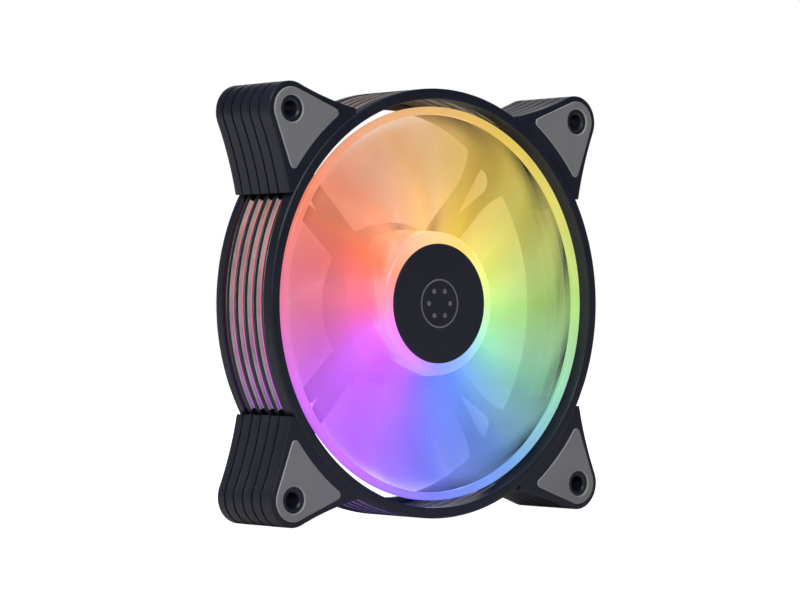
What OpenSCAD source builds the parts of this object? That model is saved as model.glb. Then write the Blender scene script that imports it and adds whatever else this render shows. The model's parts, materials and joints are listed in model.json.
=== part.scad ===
// Case fan: a 120 mm square-mount axial fan with a louvred frame and a ringed, lit rotor.
// Millimetres. The fan stands upright: the rotor axis lies along Y, the intake side faces -Y
// and +Z is up. The origin is the centre of the fan, on the rotor axis.
// Inside each module the axis is Z: heights run from the exhaust face (0) to the intake face.

/* [Frame] */
// Width and height of the square that the fan fills
frame_w = 120; // [119.5:0.5:121]
// Thickness of the fan along its axis
frame_depth = 25; // [25:0.5:26]
// Distance between neighbouring mounting screws
hole_spacing = 105; // [104.5:0.5:105.5]
// Diameter of the mounting screw holes
screw_hole_d = 4.4; // [4:0.1:4.8]
// Inner diameter of the round duct
duct_d = 114; // [113:0.5:115]
// Inner diameter of the flange behind the rotor
rear_opening_d = 110.4; // [109:0.2:112]
// Height of the closed ring at the intake side
front_ring_h = 4.7; // [4:0.1:5]
// Height of the closed ring at the exhaust side
rear_ring_h = 3.2; // [3:0.1:3.4]
// Thickness of the thin louvre strips
louvre_t = 0.9; // [0.8:0.1:1.2]
// Height of the vent slit between two strips
slit_h = 2.1; // [1.6:0.1:2.4]
// Radius of the rounded corner lobes
lobe_r = 7.5; // [7:0.1:7.5]

/* [Exhaust struts and motor base] */
// Height of the four forked struts
strut_h = 4.5; // [4:0.1:4.5]
// Diameter of the motor base
base_d = 46; // [45.5:0.5:47]

/* [Rotor] */
// Number of blades
blade_count = 11; // [9:1:11]
// Outer diameter of the band that ties the blade tips
band_d = 110; // [109:0.5:111]
// Height of that band
band_h = 2.1; // [1.8:0.1:2.4]
// Diameter of the hub at its intake end
hub_d = 40; // [40:0.5:41]
// Diameter of the blank badge on the hub
badge_d = 33.5; // [30:0.5:34]
// Thickness of a blade at its middle
blade_t = 1.5; // [1.2:0.1:1.8]

/* [Motor] */
// Diameter of the rotor shaft
shaft_d = 3; // [3:0.05:3.1]
// Radial gap between the shaft and its sleeve bearing
bearing_gap = 0.03; // [0.02:0.01:0.06]
// Outer diameter of the bearing tube
tube_d = 8.4; // [8.2:0.1:8.6]
// Diameter of the stator over its pole shoes
stator_d = 31; // [30:0.5:31]
// Height of the lamination stack
stator_h = 6; // [5:0.5:6]

/* [Hidden] */
$fn = 128;
small_fn = 48;
eps = 0.01;

// Frame shell
ring_r = frame_w / 2;
duct_r = duct_d / 2;
hole_at = hole_spacing / 2;
joint_overlap = 1;
edge_chamfer = 0.6;
inner_edge_chamfer = 0.3;
face_step = 0.4;
louvre_pitch = 4;
louvre_count = 5;
louvre_flat_h = 0.9;
ring_flat_inset = 1.2;
louvre_taper = 0.4;
window_r = ring_r - louvre_t;
window_half_angle = 28.7;
groove_cut = 0.2;
groove_floor_r = window_r - groove_cut;
rear_flange_h = 2.5;
rear_flange_taper = 1;

// Light guides that fill the windows behind the louvre strips
guide_gap = 0.1;
guide_half_angle = 28.5;
guide_rib_t = 0.35;
guide_rib_inset = 0.15;
guide_rib_r = ring_r - guide_rib_inset;

// Corner blocks
block_end = 30;
flank_r = 100;
flank_angle = 23;
block_groove_w = 0.6;
block_groove_t = 0.4;
block_groove_drop = 0.1;
block_root_r = duct_r + joint_overlap;
block_inner_x = sqrt(pow(duct_r, 2) - pow(block_end, 2));
front_floor = frame_depth - face_step;

// Corner pads
pad_lobe_r = 5.9;
pad_tip_r = 1.3;
pad_inner_r = 62.8;
pad_tip_angle = 8.9;
pad_t = 1.4;
pad_hole_r = 3.65;
pad_fit = 0.05;
screw_countersink = 0.5;

// Struts
strut_root_half_w = 4.2;
strut_fork_start = 43;
strut_fork_half_w = 4.8;
strut_fork_heading = 5;
strut_flare_r = 24;
strut_flare_turn = 25;
strut_fillet_r = 3;
strut_end_heading = 105;
strut_end_half_w = 15;
eye_tip_r = 0.6;
eye_tip_at = 34.4;
eye_end_r = 3.8;
eye_end_at = 50.4;

// Motor base
base_r = base_d / 2;
base_h = 5;
base_floor = 1.5;
base_wall = 1.2;
boss_r = 5;
boss_top = 9.6;
tube_r = tube_d / 2;
tube_seat = 1.8;
board_post_r = 1;
board_post_at = 19;
board_post_count = 3;
board_post_start = 30;
tube_floor_t = 0.6;
label_r = 19;
label_t = 0.3;
label_gap = 0.3;
cable_notch_w = 5;
cable_notch_depth = 3;
cable_notch_h = 1.6;
cable_notch_angle = -66;

// Rotor shell
hub_front_inset = 0.9;
hub_front = frame_depth - hub_front_inset;
hub_rear = 8.5;
hub_r = hub_d / 2;
hub_flare = 1;
hub_edge_r = 2;
hub_wall = 1.25;
hub_inner_r = hub_r - hub_wall;
hub_roof_t = 1.4;
badge_r = badge_d / 2;
badge_t = 0.6;
badge_recess = 0.5;
badge_gap = 0.1;
badge_chamfer = 0.15;
band_r = band_d / 2;
band_t = 2.2;
band_inset = 1.7;
band_top = frame_depth - band_inset;
band_chamfer = 0.5;

// Blades: u runs from root to tip and v from the leading to the trailing edge
blade_root_overlap = 0.3;
blade_root_r = hub_r - blade_root_overlap;
blade_tip_r = band_r - band_t / 2;
blade_tip_cut = 2.4;
blade_tip_cut_from = 0.15;
blade_tip_cut_power = 1.3;
blade_span_root = 66;
blade_span_tip = 60;
blade_lead_root = 21.6;
blade_lead_tip = 22.6;
blade_drop_root = 11.5;
blade_drop_tip = 8;
blade_camber = 0.75;
blade_sweep = 16;
blade_sweep_power = 1.5;
blade_edge_share = 0.45;
u_steps = 8;
v_steps = 10;

// Motor stack, from the rotor roof down to the base
yoke_t = 1;
yoke_r = hub_inner_r;
yoke_top = hub_front - badge_recess - hub_roof_t;
yoke_bottom = 9.5;
magnet_t = 1.6;
magnet_top = 17.6;
magnet_bottom = 10;
magnet_r = yoke_r - yoke_t;
bush_r = 4;
bush_h = 3;
bush_top = yoke_top - yoke_t;
shaft_r = shaft_d / 2;
shaft_top = bush_top + yoke_t;
shaft_bottom = 3.1;
shaft_tip = 0.6;
washer_r = 2.6;
washer_t = 0.3;
washer_gap = 0.3;
washer_top = bush_top - bush_h;
tube_top = washer_top - washer_t - washer_gap;
seal_h = 1.2;
seal_gap = 0.3;
bearing_top = tube_top - seal_h;
bearing_h = 10;
bearing_chamfer = 0.4;
sleeve_r = 3;
clip_r = 2.5;
clip_t = 0.5;
clip_at = 4.6;
clip_groove_r = 1.1;
clip_slit = 0.6;
thrust_t = 0.65;

// Stator
stator_r = stator_d / 2;
stator_top = 16.4;
stator_hub_r = 7.4;
pole_count = 4;
pole_w = 5;
shoe_t = 1.6;
shoe_half_angle = 38;
insulator_t = 0.8;
insulator_inset = 0.3;
insulator_collar_h = 0.8;
insulator_collar_inset = 0.8;
coil_build = 2.2;
coil_hub_gap = 0.4;
coil_shoe_gap = 0.9;
coil_inner_r = stator_hub_r + coil_hub_gap;
coil_outer_r = stator_r - shoe_t - coil_shoe_gap;
pin_r = 0.35;
pin_at = 6.2;
pin_tail = 0.6;

// Circuit board and what is soldered to it
board_r = 21.2;
board_boss_gap = 0.3;
board_hole_r = boss_r + board_boss_gap;
board_t = 1.2;
board_lift = 3.4;
board_top = base_floor + board_lift;
board_bottom = board_top - board_t;
led_count = 8;
led_w = 2.8;
led_h = 1.4;
led_at = 19.2;
led_lens_r = 1.1;
led_lens_depth = 0.3;
chip_size = [5, 4, 1.5];
chip_at = 13;
chip_angle = -100;
sensor_size = [4, 1.6, 3];
sensor_lift = 1.4;
sensor_at = 14.6;
sensor_angle = 45;
sensor_leg_r = 0.25;
sensor_leg_pitch = 1.27;
capacitor_size = [1.2, 2, 0.9];
capacitor_count = 4;
capacitor_start = 100;
capacitor_step = 24;

// ---------- helpers ----------

// Turns a shape drawn along Z so that it lies along Y with its intake side facing -Y
module upright() {
    rotate([90, 0, 0]) translate([0, 0, -frame_depth / 2]) children();
}

// Repeats a shape drawn about the +X+Y diagonal at all four corners
module at_corners() {
    for (i = [0 : 3]) rotate(90 * i) children();
}

// Turns a shape over, from the intake side to the exhaust side
module flip_to_rear() {
    translate([0, 0, frame_depth]) mirror([0, 0, 1]) children();
}

module tube(outer, inner, bottom, top) {
    translate([0, 0, bottom]) difference() {
        cylinder(r = outer, h = top - bottom);
        translate([0, 0, -1]) cylinder(r = inner, h = top - bottom + 2);
    }
}

// A box that stands on the z = 0 plane, centred on the axis
module standing_box(size) {
    translate([-size[0] / 2, -size[1] / 2, 0]) cube(size);
}

function polar(r, a) = [r * cos(a), r * sin(a)];

function arc(centre, r, from, to, steps) =
    [for (i = [0 : steps]) centre + polar(r, from + (to - from) * i / steps)];

// Angle of the shared outer normal of two circles, left (1) or right (-1) of the way between
function tangent_angle(c1, r1, c2, r2, side) =
    let (way = c2 - c1) atan2(way[1], way[0]) + side * acos((r1 - r2) / norm(way));

function mirrored(points) =
    [for (i = [len(points) - 1 : -1 : 0]) [points[i][1], points[i][0]]];

// Height of the upper edge of each vent slit
function slit_top(i) = frame_depth - front_ring_h - i * louvre_pitch;
function slit_bottom(i) = max(slit_top(i) - slit_h, rear_ring_h);

// ---------- frame ----------

// Outer outline of the ring from the exhaust face up: strips that taper above each groove
function shell_outside() = concat(
    [[ring_r - edge_chamfer, 0], [ring_r, edge_chamfer]],
    [for (i = [louvre_count - 1 : -1 : 0])
        each [[ring_r, slit_bottom(i)], [groove_floor_r, slit_bottom(i)],
              [groove_floor_r, slit_top(i)], [ring_r - louvre_taper, slit_top(i)],
              [ring_r, slit_top(i) + (i == 0 ? ring_flat_inset : louvre_flat_h)]]],
    [[ring_r, frame_depth - edge_chamfer], [ring_r - edge_chamfer, frame_depth]]
);

function shell_inside() = [
    [duct_r + inner_edge_chamfer, frame_depth],
    [duct_r, frame_depth - inner_edge_chamfer],
    [duct_r, rear_flange_h + rear_flange_taper],
    [rear_opening_d / 2, rear_flange_h],
    [rear_opening_d / 2, inner_edge_chamfer],
    [rear_opening_d / 2 + inner_edge_chamfer, 0]
];

module ring_shell() {
    rotate_extrude() polygon(concat(shell_outside(), shell_inside()));
}

// Recess inside the wall that opens the grooves into slits between two corner blocks
module louvre_window() {
    inner = rear_opening_d / 2;
    window_top = frame_depth - front_ring_h;
    rotate(-window_half_angle)
        rotate_extrude(angle = 2 * window_half_angle)
            translate([inner, rear_ring_h])
                square([window_r - inner, window_top - rear_ring_h]);
}

// Outline of a corner block: a lobe round the screw hole and two hollow flanks
function block_outline(inset) =
    let (
        hole = [hole_at, hole_at],
        flank = hole + polar(flank_r + lobe_r, -flank_angle),
        flank_end = asin((flank[1] - block_end - inset) / (flank_r + inset)),
        half = concat(
            [[block_inner_x, block_end + inset]],
            arc(flank, flank_r + inset, 180 + flank_end, 180 - flank_angle, 6),
            arc(hole, lobe_r - inset, -flank_angle, 45, 8)
        )
    )
    concat(half, mirrored(half));

module block_layer(inset, bottom, top) {
    translate([0, 0, bottom]) linear_extrude(top - bottom) polygon(block_outline(inset));
}

module corner_block() {
    difference() {
        union() {
            block_layer(block_groove_t, face_step, front_floor);
            block_bands();
        }
        translate([0, 0, -1]) cylinder(r = block_root_r, h = frame_depth + 2);
    }
}

// Bands between the grooves, each of which lies just behind the front edge of a slit
module block_bands() {
    groove_tops = [for (i = [0 : louvre_count - 1]) slit_top(i) - block_groove_drop];
    tops = concat([front_floor], [for (top = groove_tops) top - block_groove_w]);
    bottoms = concat(groove_tops, [face_step]);
    for (i = [0 : louvre_count]) block_layer(0, bottoms[i], tops[i]);
}

// Outline of a corner pad, grown by fit for the recess that holds it
function pad_outline(fit) =
    let (
        hole = [hole_at, hole_at],
        tip = polar(pad_inner_r + pad_tip_r, 45 - pad_tip_angle),
        out = tangent_angle(tip, pad_tip_r, hole, pad_lobe_r, -1),
        half = concat(
            arc([0, 0], pad_inner_r - fit, 45, 45 - pad_tip_angle, 4),
            arc(tip, pad_tip_r + fit, 180 + 45 - pad_tip_angle, 360 + out, 8),
            arc(hole, pad_lobe_r + fit, out, 45, 8)
        )
    )
    concat(half, mirrored(half));

// Recess for a pad, with a collar left standing round the screw hole
module pad_recess() {
    translate([0, 0, frame_depth - pad_t]) linear_extrude(pad_t + 1) difference() {
        polygon(pad_outline(pad_fit));
        translate([hole_at, hole_at]) circle(r = pad_hole_r - pad_fit);
    }
}

// Screw hole right through a corner, countersunk at both faces
module screw_hole() {
    r = screw_hole_d / 2;
    translate([hole_at, hole_at, 0]) rotate_extrude() polygon([
        [0, -1], [r + screw_countersink, -1], [r + screw_countersink, face_step],
        [r, face_step + screw_countersink], [r, front_floor - screw_countersink],
        [r + screw_countersink, front_floor], [r + screw_countersink, frame_depth + 1],
        [0, frame_depth + 1]
    ]);
}

// Half outline of a strut, drawn along +X: the fork flares out and fillets into the ring
function strut_half() =
    let (
        flare_from = strut_fork_heading - 90,
        flare_to = flare_from + strut_flare_turn,
        flare_centre = [strut_fork_start, strut_fork_half_w] - polar(strut_flare_r, flare_from),
        flare_end = flare_centre + polar(strut_flare_r, flare_to),
        fillet_centre = flare_end - polar(strut_fillet_r, flare_to)
    )
    concat(
        [[base_r - joint_overlap, strut_root_half_w]],
        arc(flare_centre, strut_flare_r, flare_from, flare_to, 6),
        arc(fillet_centre, strut_fillet_r, flare_to, strut_end_heading - 90, 5),
        [[duct_r + joint_overlap, strut_end_half_w]]
    );

module strut_outline() {
    half = strut_half();
    lower = [for (i = [len(half) - 1 : -1 : 0]) [half[i][0], -half[i][1]]];
    intersection() {
        polygon(concat(half, lower));
        circle(r = duct_r + joint_overlap);
    }
}

// Teardrop eye in the fork of a strut
module strut_eye() {
    small = [eye_tip_at, 0];
    large = [eye_end_at, 0];
    out = tangent_angle(small, eye_tip_r, large, eye_end_r, 1);
    translate(small) circle(r = eye_tip_r, $fn = small_fn);
    translate(large) circle(r = eye_end_r, $fn = small_fn);
    polygon([
        small + polar(eye_tip_r, -out), large + polar(eye_end_r, -out),
        large + polar(eye_end_r, out), small + polar(eye_tip_r, out)
    ]);
}

module strut() {
    linear_extrude(strut_h) rotate(45) difference() {
        strut_outline();
        strut_eye();
    }
}

module motor_base() {
    difference() {
        union() {
            cylinder(r = base_r, h = base_h);
            cylinder(r = boss_r, h = boss_top);
        }
        tube(base_r - base_wall, boss_r, base_floor, base_h + 1);
        translate([0, 0, tube_seat]) cylinder(r = tube_r, h = boss_top);
        translate([0, 0, -1]) cylinder(r = label_r + label_gap, h = label_t + 1);
        rotate(cable_notch_angle)
            translate([base_r - cable_notch_depth, -cable_notch_w / 2, base_floor])
                cube([cable_notch_depth + 1, cable_notch_w, cable_notch_h]);
    }
    for (i = [0 : board_post_count - 1]) rotate(board_post_start + 360 * i / board_post_count)
        translate([board_post_at, 0, base_floor - eps])
            cylinder(r = board_post_r, h = board_bottom - base_floor + eps, $fn = small_fn);
}

module frame() {
    color("#1b1f2b") upright() difference() {
        union() {
            difference() {
                ring_shell();
                for (i = [0 : 3]) rotate(90 * i) louvre_window();
            }
            at_corners() corner_block();
            at_corners() strut();
            motor_base();
        }
        at_corners() {
            pad_recess();
            flip_to_rear() pad_recess();
            screw_hole();
        }
    }
}

// One curved light guide: a wall behind the strips, and a thin rib along each slit
module light_guide() {
    outer = window_r - guide_gap;
    rotate(-guide_half_angle) rotate_extrude(angle = 2 * guide_half_angle) {
        translate([duct_r + guide_gap, rear_ring_h + guide_gap])
            square([outer - duct_r - guide_gap, slit_top(0) - rear_ring_h - 2 * guide_gap]);
        for (i = [0 : louvre_count - 2]) translate([outer - eps, slit_bottom(i)])
            square([guide_rib_r - outer + eps, guide_rib_t]);
    }
}

module side_light_guides() {
    color("#c9a7b8") upright() for (i = [0 : 3]) rotate(90 * i) light_guide();
}

module corner_pad() {
    translate([0, 0, frame_depth - pad_t]) difference() {
        linear_extrude(pad_t) polygon(pad_outline(0));
        translate([hole_at, hole_at, -1]) cylinder(r = pad_hole_r, h = pad_t + 2);
    }
}

module front_corner_pads() {
    color("#696b70") upright() at_corners() corner_pad();
}

module rear_corner_pads() {
    color("#696b70") upright() at_corners() flip_to_rear() corner_pad();
}

// ---------- rotor ----------

module hub_shell() {
    edge = arc([hub_r - hub_edge_r, hub_front - hub_edge_r], hub_edge_r, 0, 90, 8);
    difference() {
        rotate_extrude() polygon(concat(
            [[0, hub_rear], [hub_r + hub_flare, hub_rear]],
            edge,
            [[0, hub_front]]
        ));
        translate([0, 0, -1]) cylinder(r = hub_inner_r, h = yoke_top + 1);
        translate([0, 0, hub_front - badge_recess])
            cylinder(r = badge_r + badge_gap, h = badge_recess + 1);
    }
}

module tip_band() {
    inner = band_r - band_t;
    bottom = band_top - band_h;
    rotate_extrude() polygon([
        [inner + band_chamfer, bottom], [band_r - band_chamfer, bottom],
        [band_r, bottom + band_chamfer], [band_r, band_top - band_chamfer],
        [band_r - band_chamfer, band_top], [inner + band_chamfer, band_top],
        [inner, band_top - band_chamfer], [inner, bottom + band_chamfer]
    ]);
}

// A point of the blade's middle surface, moved up or down by half of its thickness
function blade_point(u, v, side) =
    let (
        cut = max(0, v - blade_tip_cut_from) / (1 - blade_tip_cut_from),
        tip = blade_tip_r - blade_tip_cut * pow(cut, blade_tip_cut_power),
        r = blade_root_r + u * (tip - blade_root_r),
        span = blade_span_root + u * (blade_span_tip - blade_span_root),
        angle = blade_sweep * pow(u, blade_sweep_power) - span * v,
        lead = blade_lead_root + u * (blade_lead_tip - blade_lead_root),
        drop = blade_drop_root + u * (blade_drop_tip - blade_drop_root),
        height = lead - drop * (v - blade_camber * v * (1 - v)),
        thickness = blade_t * (blade_edge_share + (1 - blade_edge_share) * sin(180 * v))
    )
    [r * cos(angle), r * sin(angle), height + side * thickness / 2];

module blade() {
    row = v_steps + 1;
    sheet = (u_steps + 1) * row;
    points = [for (side = [1, -1], i = [0 : u_steps], j = [0 : v_steps])
        blade_point(i / u_steps, j / v_steps, side)];
    skins = [for (s = [0, 1], i = [0 : u_steps - 1], j = [0 : v_steps - 1])
        let (a = s * sheet + i * row + j, b = a + 1, c = a + row, d = c + 1)
        each s == 0 ? [[a, c, b], [b, c, d]] : [[a, b, c], [b, d, c]]];
    rim = concat(
        [for (j = [0 : v_steps - 1]) [j, j + 1]],
        [for (i = [0 : u_steps - 1]) [i * row + v_steps, (i + 1) * row + v_steps]],
        [for (j = [v_steps : -1 : 1]) [u_steps * row + j, u_steps * row + j - 1]],
        [for (i = [u_steps : -1 : 1]) [i * row, (i - 1) * row]]
    );
    edges = [for (e = rim) each [[e[0], e[1], e[1] + sheet], [e[0], e[1] + sheet, e[0] + sheet]]];
    polyhedron(points, concat(skins, edges));
}

module impeller() {
    color("#e0a8d8") upright() {
        hub_shell();
        tip_band();
        for (i = [0 : blade_count - 1]) rotate(360 * i / blade_count) blade();
    }
}

module hub_badge() {
    bottom = hub_front - badge_recess;
    color("#24272f") upright() rotate_extrude() polygon([
        [0, bottom], [badge_r, bottom], [badge_r, bottom + badge_t - badge_chamfer],
        [badge_r - badge_chamfer, bottom + badge_t], [0, bottom + badge_t]
    ]);
}

module rotor_yoke() {
    color("#8d9094") upright() difference() {
        translate([0, 0, yoke_bottom]) cylinder(r = yoke_r, h = yoke_top - yoke_bottom);
        translate([0, 0, yoke_bottom - 1])
            cylinder(r = yoke_r - yoke_t, h = yoke_top - yoke_t - yoke_bottom + 1);
        translate([0, 0, yoke_bottom]) cylinder(r = shaft_r, h = yoke_top);
    }
}

module magnet_ring() {
    color("#3b3a3a") upright() tube(magnet_r, magnet_r - magnet_t, magnet_bottom, magnet_top);
}

module shaft_bush() {
    color("#b98f4a") upright() tube(bush_r, shaft_r, bush_top - bush_h, bush_top);
}

module rotor_shaft() {
    color("#c4c7cc") upright() rotate_extrude() polygon([
        [0, shaft_bottom], [shaft_r - shaft_tip, shaft_bottom],
        [shaft_r, shaft_bottom + shaft_tip], [shaft_r, clip_at],
        [clip_groove_r, clip_at], [clip_groove_r, clip_at + clip_t],
        [shaft_r, clip_at + clip_t], [shaft_r, shaft_top], [0, shaft_top]
    ]);
}

module slinger_washer() {
    color("#e8e6df") upright() tube(washer_r, shaft_r, washer_top - washer_t, washer_top);
}

// Split ring that snaps into the groove near the end of the shaft
module retaining_clip() {
    color("#e8e6df") upright() difference() {
        tube(clip_r, clip_groove_r, clip_at, clip_at + clip_t);
        translate([0, -clip_slit / 2, clip_at - 1]) cube([clip_r + 1, clip_slit, clip_t + 2]);
    }
}

// ---------- bearing ----------

module bearing_tube() {
    color("#b98f4a") upright() difference() {
        translate([0, 0, tube_seat]) cylinder(r = tube_r, h = tube_top - tube_seat);
        translate([0, 0, tube_seat + tube_floor_t]) cylinder(r = sleeve_r, h = tube_top);
    }
}

module sleeve_bearing() {
    bottom = bearing_top - bearing_h;
    color("#a5713c") upright() difference() {
        rotate_extrude() polygon([
            [0, bottom], [sleeve_r - bearing_chamfer, bottom], [sleeve_r, bottom + bearing_chamfer],
            [sleeve_r, bearing_top - bearing_chamfer], [sleeve_r - bearing_chamfer, bearing_top],
            [0, bearing_top]
        ]);
        translate([0, 0, bottom - 1]) cylinder(r = shaft_r + bearing_gap, h = bearing_h + 2);
    }
}

module oil_seal() {
    color("#202020") upright() tube(sleeve_r, shaft_r + seal_gap, bearing_top, tube_top);
}

module thrust_plate() {
    color("#d9d4c4") upright() translate([0, 0, tube_seat + tube_floor_t])
        cylinder(r = sleeve_r, h = thrust_t);
}

// ---------- stator ----------

// Cross-shaped outline of one stator sheet; inset pulls its outer edge in
module stator_outline(inset) {
    shoe_r = stator_r - inset;
    shoe_inner_r = stator_r - shoe_t;
    difference() {
        union() {
            circle(r = stator_hub_r);
            for (i = [0 : pole_count - 1]) rotate(360 * i / pole_count) {
                translate([0, -pole_w / 2]) square([stator_r - shoe_t / 2, pole_w]);
                polygon(concat(
                    arc([0, 0], shoe_r, -shoe_half_angle, shoe_half_angle, 16),
                    arc([0, 0], shoe_inner_r, shoe_half_angle, -shoe_half_angle, 16)
                ));
            }
        }
        circle(r = tube_r);
    }
}

module stator_core() {
    color("#77797d") upright() translate([0, 0, stator_top - stator_h])
        linear_extrude(stator_h) stator_outline(0);
}

module insulator() {
    linear_extrude(insulator_t) stator_outline(insulator_inset);
    tube(stator_hub_r - insulator_collar_inset, tube_r, insulator_t - eps, insulator_t + insulator_collar_h);
}

module upper_insulator() {
    color("#d8d3c2") upright() translate([0, 0, stator_top]) insulator();
}

module lower_insulator() {
    color("#d8d3c2") upright() translate([0, 0, stator_top - stator_h - insulator_t])
        linear_extrude(insulator_t) stator_outline(insulator_inset);
}

// One winding, wrapped round a pole and its two insulators
module coil() {
    inner_h = stator_h + 2 * insulator_t;
    outer_w = pole_w + 2 * coil_build;
    outer_h = inner_h + 2 * coil_build;
    translate([coil_inner_r, 0, stator_top - stator_h / 2]) rotate([90, 0, 90])
        linear_extrude(coil_outer_r - coil_inner_r) difference() {
            rounded_rectangle(outer_w, outer_h, coil_build);
            square([pole_w, inner_h], center = true);
        }
}

module rounded_rectangle(w, h, r) {
    square([w - 2 * r, h], center = true);
    square([w, h - 2 * r], center = true);
    for (x = [-1, 1], y = [-1, 1]) translate([x * (w / 2 - r), y * (h / 2 - r)])
        circle(r = r, $fn = small_fn);
}

module stator_coils() {
    color("#a8562a") upright()
        for (i = [0 : pole_count - 1]) rotate(360 * i / pole_count) coil();
}

module stator_pins() {
    top = stator_top - stator_h - insulator_t;
    color("#c9ccd1") upright() for (i = [0 : pole_count - 1]) rotate(45 + 90 * i)
        translate([pin_at, 0, board_bottom - pin_tail])
            cylinder(r = pin_r, h = top - board_bottom + pin_tail, $fn = small_fn);
}

// ---------- electronics ----------

module circuit_board() {
    color("#23402c") upright() difference() {
        tube(board_r, board_hole_r, board_bottom, board_top);
        for (i = [0 : pole_count - 1]) rotate(45 + 90 * i) translate([pin_at, 0, 0])
            cylinder(r = pin_r, h = board_top + 1, $fn = small_fn);
    }
}

module driver_chip() {
    color("#191919") upright() rotate(chip_angle)
        translate([chip_at, 0, board_bottom - chip_size[2]]) standing_box(chip_size);
}

module hall_sensor() {
    body_bottom = board_top + sensor_lift;
    color("#191919") upright() rotate(sensor_angle) translate([sensor_at, 0, 0]) {
        translate([0, 0, body_bottom]) rotate(90) standing_box(sensor_size);
        for (i = [-1 : 1]) translate([0, i * sensor_leg_pitch, board_top])
            cylinder(r = sensor_leg_r, h = sensor_lift + eps, $fn = small_fn);
    }
}

module chip_capacitors() {
    color("#a88f6b") upright() for (i = [0 : capacitor_count - 1])
        rotate(capacitor_start + capacitor_step * i)
            translate([chip_at, 0, board_bottom - capacitor_size[2]])
                standing_box(capacitor_size);
}

module rgb_leds() {
    color("#f2f0ea") upright() for (i = [0 : led_count - 1])
        rotate(360 * (i + 0.5) / led_count) translate([led_at, 0, board_top]) difference() {
            standing_box([led_w, led_w, led_h]);
            translate([0, 0, led_h - led_lens_depth])
                cylinder(r = led_lens_r, h = 1, $fn = small_fn);
        }
}

module rear_label() {
    color("#c9cacc") upright() cylinder(r = label_r, h = label_t);
}

frame();
side_light_guides();
front_corner_pads();
rear_corner_pads();
bearing_tube();
sleeve_bearing();
oil_seal();
thrust_plate();
stator_core();
upper_insulator();
lower_insulator();
stator_coils();
stator_pins();
circuit_board();
driver_chip();
hall_sensor();
chip_capacitors();
rgb_leds();
rear_label();
impeller();
hub_badge();
rotor_yoke();
magnet_ring();
shaft_bush();
rotor_shaft();
slinger_washer();
retaining_clip();
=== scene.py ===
"""A 120 mm case fan with a lit, translucent rotor, as a studio product picture.

Shapes are built in local millimetres: the rotor axis is Z, and heights run from the exhaust
face (0) to the intake face (25). place() turns them into the CAD frame, in metres.
"""

import json
import math

import bmesh
import bpy
from mathutils import Matrix, Vector


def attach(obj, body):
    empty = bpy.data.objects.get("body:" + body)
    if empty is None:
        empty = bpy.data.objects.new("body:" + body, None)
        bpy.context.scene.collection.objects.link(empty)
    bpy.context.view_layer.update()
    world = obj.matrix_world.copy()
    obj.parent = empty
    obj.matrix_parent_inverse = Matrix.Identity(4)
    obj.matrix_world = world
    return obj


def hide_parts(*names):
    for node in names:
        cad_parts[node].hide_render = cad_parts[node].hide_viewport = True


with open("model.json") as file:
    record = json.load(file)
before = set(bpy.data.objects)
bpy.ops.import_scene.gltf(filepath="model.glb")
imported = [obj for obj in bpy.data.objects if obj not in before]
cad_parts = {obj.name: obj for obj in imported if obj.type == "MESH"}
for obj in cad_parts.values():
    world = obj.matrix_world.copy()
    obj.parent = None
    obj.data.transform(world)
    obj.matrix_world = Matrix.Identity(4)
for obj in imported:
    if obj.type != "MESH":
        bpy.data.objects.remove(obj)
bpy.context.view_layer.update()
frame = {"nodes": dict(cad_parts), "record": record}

MM = 0.001
DEPTH = 25.0

# Frame shell
RING_R = 60.0
DUCT_R = 57.0
REAR_R = 55.2
WINDOW_R = 59.1
GROOVE_FLOOR_R = 58.9
WINDOW_HALF_ANGLE = 28.7
FRONT_RING_H = 4.7
REAR_RING_H = 3.2
SLIT_H = 2.1
SLIT_PITCH = 4.0
SLITS = 5
HOLE_AT = 52.5
FACE_STEP = 0.4
LOBE_R = 7.5
PAD_T = 1.4
PAD_HOLE_R = 3.65
SCREW_R = 2.2
STRUT_H = 4.5
GUIDE_GAP = 0.1
PAST = 1  # how far a cutter goes past the surface that it cuts

# Rotor
HUB_FRONT = 24.1
HUB_REAR = 8.5
HUB_R = 20.0
HUB_INNER_R = 18.75
BADGE_R = 16.75
BADGE_RECESS = 0.5
BADGE_GAP = 0.1
BAND_R = 55.0

# Blades: angles in degrees, heights from the exhaust face
BLADES = 11
BLADE_ROOT_R = 19.7
BLADE_TIP_R = 53.9
BLADE_TIP_CUT = 2.4
BLADE_TIP_CUT_FROM = 0.15
BLADE_SPAN_ROOT = 66
BLADE_SPAN_TIP = 60
BLADE_SWEEP = 16
BLADE_LEAD_ROOT = 21.6
BLADE_LEAD_RISE = 1
BLADE_DROP_ROOT = 11.5
BLADE_DROP_TIP = 8
BLADE_CAMBER = 0.75
BLADE_T = 1.5
BLADE_EDGE_SHARE = 0.25

# How much of what lies behind them the lit parts of the rotor hide
BLADE_COVER = 0.54
HUB_COVER = 0.97
BAND_COVER = 0.93

# Motor
STATOR_MIDDLE = 13.4
COIL_INNER_R = 7.8
COIL_OUTER_R = 13.0


# ---------- plane geometry, in millimetres and degrees ----------


def polar(radius, angle):
    return Vector((radius * math.cos(math.radians(angle)), radius * math.sin(math.radians(angle))))


def arc(centre, radius, start, end, steps):
    """Points on a circle from one angle to another, both included."""
    turn = (end - start) / steps
    return [Vector(centre) + polar(radius, start + turn * i) for i in range(steps + 1)]


def mirrored(points):
    """The points mirrored in the diagonal, in the reverse order, so that they close an outline."""
    return [Vector((p.y, p.x)) for p in reversed(points)]


def tangent_angle(first, first_r, second, second_r, side):
    """Angle of the outer normal that two circles share, left (1) or right (-1) of the way between."""
    way = Vector(second) - Vector(first)
    heading = math.degrees(math.atan2(way.y, way.x))
    return heading + side * math.degrees(math.acos((first_r - second_r) / way.length))


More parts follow.
